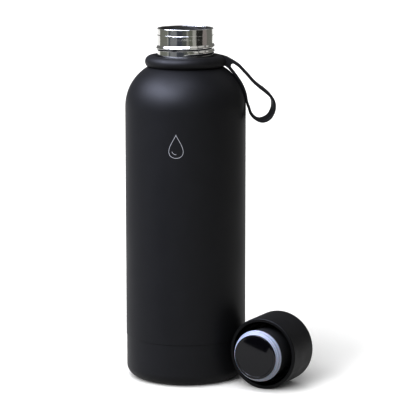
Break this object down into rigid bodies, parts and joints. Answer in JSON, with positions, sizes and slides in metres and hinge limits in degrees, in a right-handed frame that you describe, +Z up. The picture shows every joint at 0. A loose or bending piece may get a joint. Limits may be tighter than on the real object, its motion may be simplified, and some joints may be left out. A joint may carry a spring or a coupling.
{
  "type": "insulated water bottle",
  "caption": "Slim double-wall steel bottle in matte black with a bare threaded neck, a silicone collar and carry loop, and a loose screw cap with an insulated plug.",
  "frame": {"origin": "where the bottle's axis meets the surface that the bottle stands on", "axes": "+Z up along the bottle's axis, +X to the side that the carry loop hangs on, -Y to the side that the cap's plug faces"},
  "size_m": [0.1133, 0.0894, 0.214],
  "materials": {
    "black_powder_coat": "matte",
    "polished_steel": "polished",
    "liner_steel": "satin",
    "copper": "satin",
    "getter_alloy": "matte",
    "seal_glass": "gloss",
    "dark_rubber": "matte",
    "black_silicone": "matte",
    "matte_plastic": "matte",
    "dark_plastic": "satin",
    "gloss_plastic": "gloss",
    "pale_silicone": "satin",
    "foam": "matte"
  },
  "bodies": {
    "bottle": {"outer_shell": "black_powder_coat", "base_cup": "black_powder_coat", "base_pad": "dark_rubber", "threaded_neck": "polished_steel", "inner_vessel": "liner_steel", "inner_bottom": "liner_steel", "copper_foil": "copper", "bottom_plate": "liner_steel", "vacuum_seal": "seal_glass", "getter": "getter_alloy", "getter_clip": "liner_steel"},
    "collar": {"strap_collar": "black_silicone"},
    "loop": {"strap_loop": "black_silicone"},
    "cap_core": {"foam_core": "foam"},
    "cap_seal": {"plug_gasket": "pale_silicone"},
    "cap": {"cap_shell": "matte_plastic", "thread_insert": "dark_plastic", "stopper_plug": "dark_plastic", "plug_end_disc": "gloss_plastic"}
  },
  "joints": [
    {"name": "collar_swivel", "type": "hinge", "parent": "bottle", "child": "collar", "pos_m": [0, 0, 0.1942], "axis": [0, 0, 1], "continuous": true},
    {"name": "strap_lift", "type": "hinge", "parent": "collar", "child": "loop", "pos_m": [0.028, 0, 0.1918], "axis": [0, -1, 0], "range_deg": [0, 115]},
    {"name": "cap_tip", "type": "hinge", "parent": "bottle", "child": "cap_core", "pos_m": [0.05878, -0.01376, 0], "axis": [-0.8829, 0.4695, 0], "range_deg": [0, 90]},
    {"name": "cap_advance", "type": "slide", "parent": "cap_core", "child": "cap_seal", "axis": [-0.4695, -0.8829, 0], "range_m": [0, 0.0047]},
    {"name": "cap_turn", "type": "hinge", "parent": "cap_seal", "child": "cap", "pos_m": [0.0461, -0.0376, 0.0216], "axis": [-0.4695, -0.8829, 0], "range_deg": [0, 540]}
  ],
  "couplings": [
    {"joint": "cap_advance", "follows": "cap_turn", "m_per_rad": 0.00049338}
  ]
}
